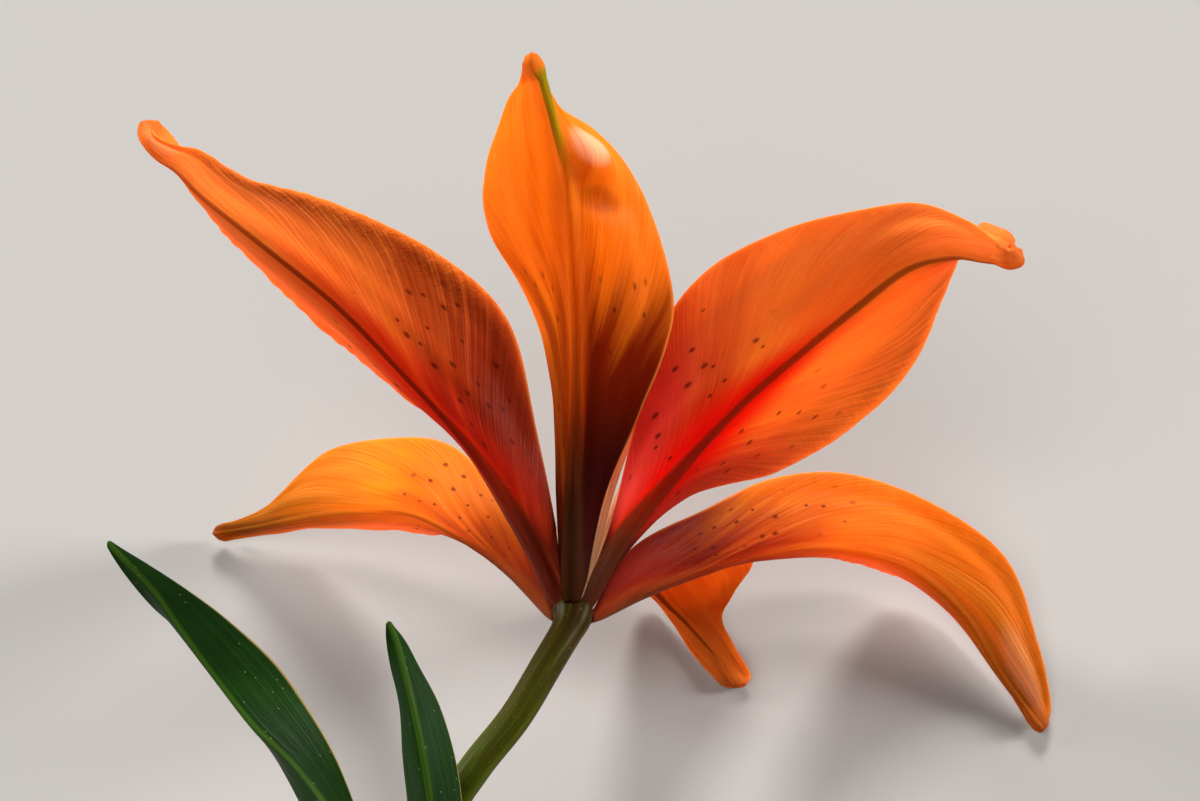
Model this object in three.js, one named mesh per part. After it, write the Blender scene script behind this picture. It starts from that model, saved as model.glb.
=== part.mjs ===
// A cut lily lying on a level surface: one nodding flower on its curved stalk, and three leaves.
// Millimetres, +Z up. Until the last lines, x and y are measured from the point below the flower's foot and
// z from the surface. The flower faces +Y and the stem runs back towards -Y.

import * as THREE from "three";

const { degToRad } = THREE.MathUtils;

// Driving dimensions of the flower
const FOOT_HEIGHT = 59.5;
const NOD = degToRad(9);
const OUTER_RING = 3.55;
const INNER_RING = 2.5;
const RING_LIFT = 0.2;
const BASE_SPREAD = 33;
const TEPAL_EDGE = 0.55;
const TEPAL_KEEL = 1.0;
const TEPAL_TIP = 1.9;
const KEEL_ROUNDNESS = 0.8;

// Driving dimensions of the stamens and the pistil
const FILAMENT_RING = 1.5;
const FILAMENT_START = 0.8;
const ANTHER_LENGTH = 9;
const ANTHER_WIDTH = 2.2;
const ANTHER_DEPTH = 1.7;
const PISTIL_LENGTH = 56;

// Driving dimensions of the stem and the leaves
const STALK_RADIUS = 2.4;
const STEM_RADIUS = 3.2;
const RECEPTACLE_RADIUS = 3.5;
const LEAF_THICKNESS = 0.6;
const LEAF_CLASP = 45;
const SEAT_GAP = 0.3;

// The route of the stem's middle, from just under the flower back to the cut end
const STEM_ROUTE = [
  [0, -0.8, 59.6],
  [-0.5, -3.5, 60],
  [-3.5, -9.5, 60.2],
  [-8.5, -18, 58.5],
  [-14.5, -25, 55.5],
  [-19.5, -32, 51.5],
  [-21.5, -43, 47.5],
  [-22, -60, 42.5],
  [-23.5, -110, 28],
  [-25, -160, 13],
  [-26, -195, 3.2],
];

// Three rails carry each tepal: its left margin, its keel and its right margin, seen from outside with the
// tip ahead. Every rail starts on the foot's ring and then runs through the points given here.
const TEPALS = [
  {
    name: "sepal_front",
    azimuth: -4,
    ring: OUTER_RING,
    left: [
      [-2.5, 14.5, 67], [-3, 27, 73.5], [-6, 38.5, 81.5], [-12.5, 45, 93.5], [-13, 51, 100],
      [-11, 55, 106.5], [-9.5, 56, 112], [-7.5, 55.5, 117.5], [-6.5, 55, 123.5],
    ],
    keel: [
      [0, 11.5, 72.5], [0.5, 21.5, 81], [0.5, 31.5, 90.5], [0, 40, 100], [-1, 46.5, 109],
      [-2.5, 49.5, 115.5], [-3.5, 51, 120], [-4.5, 52.5, 124], [-6, 54, 126],
    ],
    right: [
      [4.8, 14.5, 67.5], [10.3, 24, 77], [15, 35, 85.5], [13, 43.5, 93.5], [9, 50.5, 100.5],
      [3.5, 54, 106.5], [-1.5, 54.5, 111.5], [-4.5, 54.5, 117.5], [-5.5, 55, 123.5],
    ],
  },
  {
    name: "petal_left",
    azimuth: -62,
    ring: INNER_RING,
    left: [
      [-9.5, 14, 59], [-18, 28.5, 60.5], [-27.5, 37.5, 59.5], [-38, 45, 64], [-49.5, 53, 72],
      [-57, 58.5, 80.5], [-59, 61.5, 83.5], [-59.5, 64.5, 85.5], [-61.5, 66, 88.5], [-63.5, 66, 92],
    ],
    keel: [
      [-7.5, 11, 63.5], [-15.5, 23, 67], [-25.5, 33, 71.5], [-35.5, 41.5, 77.5], [-46.5, 48.5, 83.5],
      [-55.5, 54.5, 87.5], [-59.5, 57.5, 90.5], [-62.5, 59, 92], [-64.5, 61, 93.5], [-64.5, 64.5, 93],
    ],
    right: [
      [-2.5, 12.5, 60], [-5.5, 27, 64.5], [-10, 41.5, 74], [-21.5, 50.5, 79.5], [-36.5, 57, 82.5],
      [-49.5, 60, 85], [-56, 62, 89], [-59.5, 61.5, 91.5], [-62.5, 61.5, 94], [-64, 64.5, 93.5],
    ],
  },
  {
    name: "petal_right",
    azimuth: 58,
    ring: INNER_RING,
    left: [
      [5.4, 12.4, 60.7], [9.1, 25.5, 65], [12.5, 38, 73.5], [20, 46, 80.5], [32.5, 51.5, 84],
      [45, 54.5, 85], [52.5, 55, 85.5], [59, 51.5, 86.5], [63, 47.5, 88], [65.5, 45.5, 87.5],
    ],
    keel: [
      [7.5, 10, 62], [16, 20.5, 64.5], [25.5, 30, 68], [34.5, 37, 71.5], [43, 43, 75],
      [50.5, 47, 79.5], [57, 47, 83], [61.5, 45.5, 84.5], [64.5, 44.5, 85.5], [67, 45, 85.5],
    ],
    right: [
      [9.5, 12, 57.5], [18, 20.5, 56.5], [30.5, 25.5, 54.5], [42.5, 32, 56.5], [51.5, 39.5, 61.5],
      [56.5, 47.5, 68.5], [59, 52.5, 74.5], [62, 55.5, 79], [65, 53, 81], [67, 48, 84],
    ],
  },
  {
    name: "sepal_left",
    azimuth: -118,
    ring: OUTER_RING,
    left: [
      [-9.5, 15.5, 43], [-16.5, 26.5, 33.5], [-23.5, 33.5, 20], [-31, 39.5, 10.5],
      [-41.5, 43, 4.5], [-51, 43, 2.5], [-59, 42.5, 1],
    ],
    keel: [
      [-9.5, 11, 49.5], [-16.5, 21, 40.5], [-25.5, 31, 31], [-34.5, 36.5, 22],
      [-43, 40, 14], [-52, 42, 7], [-60, 43.5, 2],
    ],
    right: [
      [-5, 11.5, 52.5], [-10.5, 26.5, 44.5], [-19.5, 39.5, 38.5], [-29.5, 46.5, 28.5],
      [-40.5, 49, 19.5], [-50.5, 45, 9], [-59, 44, 3],
    ],
  },
  {
    name: "sepal_right",
    azimuth: 122,
    ring: OUTER_RING,
    left: [
      [9, 13.6, 52.6], [20.5, 24.5, 45], [31, 34, 37.5], [43.5, 40, 28.5], [57.5, 40, 19],
      [70, 33.5, 12], [75, 21.5, 6], [77, 12.5, 2.5], [76.5, 8.5, 1.5],
    ],
    keel: [
      [11, 7.5, 50], [21, 16, 41], [31, 23.5, 32.5], [42, 29, 23.5], [53.5, 30, 15.5],
      [63, 24.5, 9], [69, 16, 4.5], [73, 11, 2.5], [75.5, 7.5, 1.5],
    ],
    right: [
      [12.5, 13.5, 42], [23, 24, 30.5], [32, 29, 21], [41, 34, 11], [50, 35.5, 4],
      [59, 31, 2.5], [67, 21, 2], [71.5, 13, 1], [75, 8, 0.8],
    ],
  },
  {
    name: "petal_back",
    azimuth: 180,
    ring: INNER_RING,
    left: [
      [5, 15.5, 45.5], [12, 25, 30], [23.5, 34.5, 19.5], [29, 34.5, 10], [26, 30.5, 5.5],
      [24, 26.5, 4.5], [26, 22, 3], [28.5, 17.5, 2], [27.5, 15.5, 1.2],
    ],
    keel: [
      [3, 12.5, 46], [6.5, 20.5, 34.5], [9.5, 27, 21], [12, 29.5, 10.5], [15, 28.5, 5.5],
      [18, 26.5, 3], [22, 22, 1.5], [24, 18.5, 1.5], [26, 15.5, 1],
    ],
    right: [
      [1.5, 12.5, 43.5], [3.5, 20.5, 27.5], [7, 29.5, 13], [9.5, 33, 4.5], [12.5, 32, 1.5],
      [15.5, 28, 1], [18.5, 22.5, 1], [21.5, 18.5, 1], [24.5, 15.5, 1],
    ],
  },
];

// Each leaf clasps the stem at a place along it, turned from the top of the stem, and has three rails too
const LEAVES = [
  {
    name: "leaf_left",
    along: 0.685,
    turn: -114,
    left: [
      [-25.9, -108, 24.3], [-28, -75, 31.5], [-30.5, -43, 34], [-38, -26.5, 29.5], [-45, -12, 26],
      [-49, -3.5, 23], [-55, 5.5, 22.5], [-62.5, 13.5, 24.5], [-66.5, 16.5, 27.5], [-70.5, 20.5, 31],
      [-73.5, 24.2, 33.6],
    ],
    keel: [
      [-28.4, -108, 27], [-28.8, -75, 35], [-28.5, -42, 38.2], [-34.5, -26.5, 35], [-42, -14, 31.5],
      [-49.5, -5, 29], [-55, 2.5, 28.5], [-61, 10.5, 30], [-65.5, 16.5, 32], [-70, 21, 33.5],
      [-73.5, 24.5, 34],
    ],
    right: [
      [-27.8, -108, 31], [-27.5, -75, 38.5], [-25.5, -40.5, 38], [-32, -24, 34], [-36.5, -12, 31.5],
      [-41.5, -2, 29.5], [-47, 6, 29.5], [-54.5, 13, 30], [-61, 17.5, 31.5], [-67.5, 21.5, 33],
      [-73.3, 24.8, 34.2],
    ],
  },
  {
    name: "leaf_top",
    along: 0.71,
    turn: 0,
    left: [
      [-26.5, -112, 30.5], [-25.5, -80, 40.5], [-23, -49, 51], [-23.5, -39.5, 55], [-24, -32.5, 59],
      [-25, -26.5, 63], [-25.5, -20.5, 67.5], [-26.5, -16, 71], [-27, -13, 74], [-27, -11.3, 75.6],
    ],
    keel: [
      [-22.8, -113, 33], [-21.2, -81, 43.5], [-19.5, -50, 53.5], [-20, -41.5, 59.5], [-20.5, -35.5, 64],
      [-21.5, -29.5, 67.5], [-23, -23, 70.5], [-24.5, -17.5, 73], [-25.5, -14, 74.5],
      [-26.8, -11.1, 76],
    ],
    right: [
      [-19.5, -112, 30.5], [-17.5, -80, 40.5], [-16.5, -49, 51], [-16, -39.5, 55], [-16, -32.5, 59],
      [-17, -27, 62.5], [-19.5, -20.5, 66.5], [-22.5, -16, 70.5], [-24.5, -13, 73.5],
      [-26.5, -11.2, 75.6],
    ],
  },
  {
    name: "leaf_low",
    along: 0.775,
    turn: -100,
    left: [
      [-37, -141.5, 22], [-43, -126, 31], [-52.5, -112, 35.5], [-64, -97.5, 36], [-74, -81.5, 32],
      [-81, -66, 24], [-83.2, -50.4, 16],
    ],
    keel: [
      [-33.5, -139.5, 20.5], [-38.5, -123.5, 29], [-46, -107.5, 33.5], [-57, -92.5, 34], [-68, -77.5, 30],
      [-77, -63.5, 23], [-83, -50, 16],
    ],
    right: [
      [-30, -137.5, 21.5], [-33, -121, 31], [-39.5, -103, 35.5], [-50, -87.5, 36], [-62, -73.5, 32],
      [-73, -61, 24], [-82.7, -49.7, 16],
    ],
  },
];

// One stamen stands in front of each tepal: where it points, how far its anther is along the flower's axis
// and how far out from it
const STAMENS = [
  { name: "front", azimuth: -4, height: 46, out: 13 },
  { name: "upper_right", azimuth: 62, height: 48, out: 16 },
  { name: "lower_right", azimuth: 108, height: 50, out: 17.5 },
  { name: "back", azimuth: 180, height: 44, out: 12.5 },
  { name: "lower_left", azimuth: -118, height: 44, out: 12.5 },
  { name: "upper_left", azimuth: -70, height: 43, out: 12 },
];

const TEPAL_STEPS = 20;
const TEPAL_CROSS = 8;
const LEAF_STEPS = 18;
const LEAF_CROSS = 4;

function material(colour, roughness) {
  return new THREE.MeshStandardMaterial({ color: colour, roughness, metalness: 0 });
}

const PETAL_ORANGE = material(0xe8641b, 0.5);
const LEAF_GREEN = material(0x2c4a16, 0.45);
const STEM_GREEN = material(0x5d6a22, 0.5);
const FILAMENT_CREAM = material(0xf0b07a, 0.5);
const ANTHER_RUST = material(0x7a3216, 0.9);
const PISTIL_GREEN = material(0x9aa04a, 0.5);

function vector(values) {
  return new THREE.Vector3(...values);
}

// A smooth curve through hand-chosen points, with the same share of the curve between each two
function smooth(points) {
  return new THREE.CatmullRomCurve3(points, false, "catmullrom", 0.5);
}

// The route of the stem, whose points are unevenly spaced
const stemCurve = new THREE.CatmullRomCurve3(STEM_ROUTE.map(vector), false, "centripetal");

// A point on the flower's foot: turned about the flower's axis from its upper side
function onRing(azimuth, radius) {
  const turn = degToRad(azimuth);
  const up = new THREE.Vector3(0, Math.sin(NOD), Math.cos(NOD));
  const forward = new THREE.Vector3(0, Math.cos(NOD), -Math.sin(NOD));
  return new THREE.Vector3(Math.sin(turn) * radius, 0, FOOT_HEIGHT)
    .addScaledVector(up, Math.cos(turn) * radius)
    .addScaledVector(forward, RING_LIFT);
}

// A point beside the stem: a share of its length along it, turned about it from its upper side and out
// from its middle
function besideStem(along, turnDegrees, out) {
  const turn = degToRad(turnDegrees);
  const forward = stemCurve.getTangentAt(along).negate();
  const right = new THREE.Vector3(1, 0, 0).addScaledVector(forward, -forward.x).normalize();
  const up = right.clone().cross(forward);
  return stemCurve
    .getPointAt(along)
    .addScaledVector(up, Math.cos(turn) * out)
    .addScaledVector(right, Math.sin(turn) * out);
}

// Half of a cross-section: from the keel to one margin, leaving the keel level with the other half
function acrossHalf(keel, margin, level, share) {
  const s = share;
  const leave = s ** 3 - 2 * s ** 2 + s;
  const arrive = s ** 3 - s ** 2;
  const end = -2 * s ** 3 + 3 * s ** 2;
  return keel
    .clone()
    .multiplyScalar(1 - end)
    .addScaledVector(margin, end)
    .addScaledVector(level, leave * KEEL_ROUNDNESS)
    .addScaledVector(margin.clone().sub(keel), arrive);
}

// The middle surface of a blade as rows of points, from base to tip and from left margin to right margin
function bladeRows(rails, steps, cross) {
  const [left, keel, right] = rails.map(smooth);
  const rows = [];
  for (let i = 0; i <= steps; i += 1) {
    const t = i / steps;
    const [l, k, r] = [left, keel, right].map((rail) => rail.getPoint(t));
    const level = r.clone().sub(l).multiplyScalar(0.5);
    const row = [];
    for (let j = 0; j <= cross; j += 1) {
      const v = (2 * j) / cross - 1;
      const toRight = v > 0;
      row.push(acrossHalf(k, toRight ? r : l, toRight ? level : level.clone().negate(), Math.abs(v)));
    }
    rows.push(row);
  }
  return rows;
}

// The outward direction of a blade at one point of its rows
function outward(rows, i, j) {
  const lastRow = rows.length - 1;
  const lastColumn = rows[0].length - 1;
  const along = rows[Math.min(i + 1, lastRow)][j].clone().sub(rows[Math.max(i - 1, 0)][j]);
  const across = rows[i][Math.min(j + 1, lastColumn)].clone().sub(rows[i][Math.max(j - 1, 0)]);
  return across.cross(along).normalize();
}

function meshFrom(name, positions, faces, finish) {
  const geometry = new THREE.BufferGeometry();
  geometry.setAttribute("position", new THREE.Float32BufferAttribute(positions, 3));
  geometry.setIndex(faces);
  geometry.computeVertexNormals();
  const mesh = new THREE.Mesh(geometry, finish);
  mesh.name = name;
  return mesh;
}

// A closed thin solid round the middle surface: an outer skin, an inner skin and the rim between them
function blade(name, rails, steps, cross, halfThickness, finish) {
  const rows = bladeRows(rails, steps, cross);
  const positions = [];
  const faces = [];
  for (const side of [1, -1]) {
    rows.forEach((row, i) => {
      row.forEach((point, j) => {
        const half = halfThickness(i / steps, Math.abs((2 * j) / cross - 1));
        positions.push(...point.clone().addScaledVector(outward(rows, i, j), side * half));
      });
    });
  }
  const columns = cross + 1;
  const skin = (steps + 1) * columns;
  for (let i = 0; i < steps; i += 1) {
    for (let j = 0; j < cross; j += 1) {
      const a = i * columns + j;
      const b = a + 1;
      const c = a + columns;
      const d = c + 1;
      faces.push(a, b, d, a, d, c);
      faces.push(skin + a, skin + d, skin + b, skin + a, skin + c, skin + d);
    }
  }
  const rim = [];
  for (let j = 0; j < cross; j += 1) rim.push(j);
  for (let i = 0; i < steps; i += 1) rim.push(i * columns + cross);
  for (let j = cross; j > 0; j -= 1) rim.push(steps * columns + j);
  for (let i = steps; i > 0; i -= 1) rim.push(i * columns);
  rim.forEach((a, n) => {
    const b = rim[(n + 1) % rim.length];
    faces.push(a, skin + a, skin + b, a, skin + b, b);
  });
  return meshFrom(name, positions, faces, finish);
}

// A closed round bar along a curve, with its own radius at each place; lobes ripples the outline
function bar(name, curve, sides, steps, radiusAt, finish) {
  const { normals, binormals } = curve.computeFrenetFrames(steps, false);
  const positions = [];
  const faces = [];
  for (let i = 0; i <= steps; i += 1) {
    const centre = curve.getPointAt(i / steps);
    for (let j = 0; j < sides; j += 1) {
      const turn = (2 * Math.PI * j) / sides;
      const radius = radiusAt(i / steps, turn);
      const point = centre
        .clone()
        .addScaledVector(normals[i], Math.cos(turn) * radius)
        .addScaledVector(binormals[i], Math.sin(turn) * radius);
      positions.push(...point);
    }
  }
  for (let i = 0; i < steps; i += 1) {
    for (let j = 0; j < sides; j += 1) {
      const a = i * sides + j;
      const b = i * sides + ((j + 1) % sides);
      faces.push(a, b, b + sides, a, b + sides, a + sides);
    }
  }
  const start = (steps + 1) * sides;
  positions.push(...curve.getPointAt(0), ...curve.getPointAt(1));
  for (let j = 0; j < sides; j += 1) {
    const next = (j + 1) % sides;
    faces.push(start, next, j);
    faces.push(start + 1, steps * sides + j, steps * sides + next);
  }
  return meshFrom(name, positions, faces, finish);
}

// Straight-line blending between [place, value] pairs
function profile(pairs) {
  return (t) => {
    const next = pairs.findIndex(([place]) => place >= t);
    if (next <= 0) return pairs[next < 0 ? pairs.length - 1 : 0][1];
    const [t0, value0] = pairs[next - 1];
    const [t1, value1] = pairs[next];
    return value0 + ((value1 - value0) * (t - t0)) / (t1 - t0);
  };
}

function makeStem() {
  const radius = profile([
    [0, RECEPTACLE_RADIUS],
    [0.012, RECEPTACLE_RADIUS],
    [0.03, STALK_RADIUS + 0.2],
    [0.06, STALK_RADIUS],
    [0.17, STALK_RADIUS],
    [0.3, STEM_RADIUS - 0.3],
    [1, STEM_RADIUS],
  ]);
  return bar("stem", stemCurve, 12, 64, radius, STEM_GREEN);
}

function makeTepal({ name, azimuth, ring, left, keel, right }) {
  const rails = [
    [onRing(azimuth - BASE_SPREAD, ring), ...left.map(vector)],
    [onRing(azimuth, ring), ...keel.map(vector)],
    [onRing(azimuth + BASE_SPREAD, ring), ...right.map(vector)],
  ];
  const tipStart = 0.85;
  const half = (t, fromKeel) => {
    const body = TEPAL_EDGE + (TEPAL_KEEL - TEPAL_EDGE) * (1 - fromKeel) ** 2 * Math.min(1, t / 0.1);
    const tip = Math.max(0, (t - tipStart) / (1 - tipStart));
    return (body + (TEPAL_TIP - body) * tip ** 2) / 2;
  };
  return blade(name, rails, TEPAL_STEPS, TEPAL_CROSS, half, PETAL_ORANGE);
}

function makeLeaf({ name, along, turn, left, keel, right }) {
  const out = STEM_RADIUS + SEAT_GAP + LEAF_THICKNESS / 2;
  const rails = [
    [besideStem(along, turn - LEAF_CLASP, out), ...left.map(vector)],
    [besideStem(along, turn, out), ...keel.map(vector)],
    [besideStem(along, turn + LEAF_CLASP, out), ...right.map(vector)],
  ];
  return blade(name, rails, LEAF_STEPS, LEAF_CROSS, () => LEAF_THICKNESS / 2, LEAF_GREEN);
}

// Inside the flower, z runs along the flower's axis from its foot and -y is its upper side
function inFlower(azimuth, height, out) {
  const turn = degToRad(azimuth);
  return new THREE.Vector3(Math.sin(turn) * out, -Math.cos(turn) * out, height);
}

function filamentCurve({ azimuth, height, out }) {
  return smooth([
    inFlower(azimuth, FILAMENT_START, FILAMENT_RING),
    inFlower(azimuth, height * 0.2, out * 0.21),
    inFlower(azimuth, height * 0.5, out * 0.46),
    inFlower(azimuth, height * 0.8, out * 0.83),
    inFlower(azimuth, height, out),
  ]);
}

function makeFilament(stamen) {
  const radius = profile([[0, 0.38], [0.2, 0.55], [0.6, 0.5], [1, 0.35]]);
  return bar(`filament_${stamen.name}`, filamentCurve(stamen), 8, 12, radius, FILAMENT_CREAM);
}

// An anther hangs by its middle on its filament's end, a little turned from the filament
function makeAnther(stamen) {
  const curve = filamentCurve(stamen);
  const forward = curve.getTangent(1);
  const anther = new THREE.Mesh(new THREE.SphereGeometry(0.5, 10, 8), ANTHER_RUST);
  anther.name = `anther_${stamen.name}`;
  anther.scale.set(ANTHER_WIDTH, ANTHER_LENGTH, ANTHER_DEPTH);
  const inwards = inFlower(stamen.azimuth, 0, -1);
  const long = forward.clone().addScaledVector(inwards, 0.9).normalize();
  const side = long.clone().cross(forward).normalize();
  const back = side.clone().cross(long).normalize();
  anther.quaternion.setFromRotationMatrix(new THREE.Matrix4().makeBasis(side, long, back));
  const seat = ANTHER_DEPTH / 2 + 0.35 + SEAT_GAP;
  anther.position.copy(curve.getPoint(1)).addScaledVector(back, Math.sign(back.dot(forward)) * seat);
  return anther;
}

function makePistil() {
  const curve = smooth([
    new THREE.Vector3(0, 0, FILAMENT_START),
    new THREE.Vector3(0, 0, PISTIL_LENGTH * 0.33),
    new THREE.Vector3(0.6, 0.4, PISTIL_LENGTH * 0.66),
    new THREE.Vector3(1.5, 1, PISTIL_LENGTH),
  ]);
  const radius = profile([
    [0, 0.7], [0.06, 1.1], [0.14, 1.7], [0.26, 1.7], [0.31, 1], [0.5, 0.75], [0.9, 0.8], [0.96, 2], [1, 1.5],
  ]);
  const lobed = (t, turn) => radius(t) * (t > 0.93 ? 1 + 0.18 * Math.cos(3 * turn) : 1);
  return bar("pistil", curve, 12, 30, lobed, PISTIL_GREEN);
}

const flower = new THREE.Group();
flower.position.z = FOOT_HEIGHT;
flower.rotation.x = -(Math.PI / 2 + NOD);
flower.add(makePistil());
for (const stamen of STAMENS) {
  flower.add(makeFilament(stamen), makeAnther(stamen));
}

const lily = new THREE.Group();
lily.add(makeStem(), flower);
lily.add(...TEPALS.map(makeTepal), ...LEAVES.map(makeLeaf));

// The origin is under the middle of the whole lily, on the surface
const bounds = new THREE.Box3().setFromObject(lily, true);
const middle = bounds.getCenter(new THREE.Vector3());
lily.position.set(-middle.x, -middle.y, -bounds.min.z);

export default lily;
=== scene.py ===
"""A cut lily on a pale floor: silky tepals, leaves, stamens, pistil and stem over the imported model."""

import math
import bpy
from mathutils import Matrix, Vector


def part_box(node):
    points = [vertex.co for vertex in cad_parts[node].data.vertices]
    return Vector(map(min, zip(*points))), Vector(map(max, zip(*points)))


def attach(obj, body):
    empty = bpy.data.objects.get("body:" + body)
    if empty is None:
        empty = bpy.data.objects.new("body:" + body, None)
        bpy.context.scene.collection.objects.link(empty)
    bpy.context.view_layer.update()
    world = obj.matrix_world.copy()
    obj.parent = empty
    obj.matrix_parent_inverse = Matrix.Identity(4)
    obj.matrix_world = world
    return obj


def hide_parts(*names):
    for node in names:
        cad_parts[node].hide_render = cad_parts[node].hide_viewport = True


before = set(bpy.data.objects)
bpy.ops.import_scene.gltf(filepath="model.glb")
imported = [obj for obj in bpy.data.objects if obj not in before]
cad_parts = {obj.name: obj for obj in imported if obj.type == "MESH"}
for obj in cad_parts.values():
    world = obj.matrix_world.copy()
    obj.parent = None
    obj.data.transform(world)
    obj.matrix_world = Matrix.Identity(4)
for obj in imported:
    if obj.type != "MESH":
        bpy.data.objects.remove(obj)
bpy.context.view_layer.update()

from types import SimpleNamespace

import bpy
import numpy as np
from mathutils import Matrix, Vector

MM = 0.001

# The flower's foot is where its axis leaves the stem. Places are in millimetres from the point below the
# foot and from the floor, as the flower lies, with the flower facing +Y.
FOOT_HEIGHT = 59.5
NOD = math.radians(9)
OUTER_RING = 3.55
INNER_RING = 2.5
BASE_SPREAD = 33

# The skins start inside the stem's end, so that the flower's foot looks grown together
FOOT_DEPTH = -1.3
FOOT_TIGHTNESS = 0.8
KEEL_ROUNDNESS = 0.8
TEPAL_HALF_THICKNESS = 0.26

# How much a blade narrows at its very foot, and how blunt its margins are
FOOT_NARROWING = 0.45
RIM_BLUNTNESS = 14

# The flare is the stalk's swelling just before the receptacle
STALK_RADIUS = 2.4
STEM_RADIUS = 3.2
RECEPTACLE_RADIUS = 3.1
FLARE_LENGTH = 2.65
STEM_ROWS = 400
LEAF_CLASP = 50
LEAF_SEAT = 0.25

# A filament is a strap low down and round at its end
FILAMENT_RING = 1.5
FILAMENT_END_RADIUS = 0.34
STRAP_EXTRA_WIDTH = 1.3
STRAP_EXTRA_DEPTH = 0.16
STRAP_GROOVE = 0.14
ANTHER_HALF_LENGTH = 4.4
ANTHER_OUT = 1.2
ANTHER_BEND = 0.35

# The pistil's radius at shares of its length: the ovary, the style and the stigma
PISTIL_LENGTH = 56
PISTIL_RADII = [
    (0, 0.75), (0.06, 1.1), (0.14, 1.65), (0.26, 1.65), (0.31, 1.0),
    (0.5, 0.72), (0.9, 0.8), (0.955, 1.9), (0.985, 1.95), (1, 1.2),
]

# The place maps are in units of 100 mm and take every bar as 15 mm round
MAP_UNIT = 100
BAR_GIRTH = 15
BAKE_MARGIN = 0.01

# The photograph's camera, moved with the flower
CAMERA_ELEVATION = math.radians(60)
CAMERA_DISTANCE = 700
CAMERA_RIGHT_OF_FOOT = 4.05
CAMERA_ABOVE_FOOT = 30.8
CAMERA_LENS = 140

# In metres
FLOOR_RADIUS = 12
BACKDROP_HEIGHT = 12

STEM_ROUTE = [
    (0, -0.8, 59.6), (-0.5, -3.5, 60), (-3.5, -9.5, 60.2), (-8.5, -18, 58.5), (-14.5, -25, 55.5),
    (-19.5, -32, 51.5), (-21.5, -43, 47.5), (-22, -60, 42.5), (-23.5, -110, 28), (-25, -160, 13),
    (-26, -195, 3.2),
]

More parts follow.
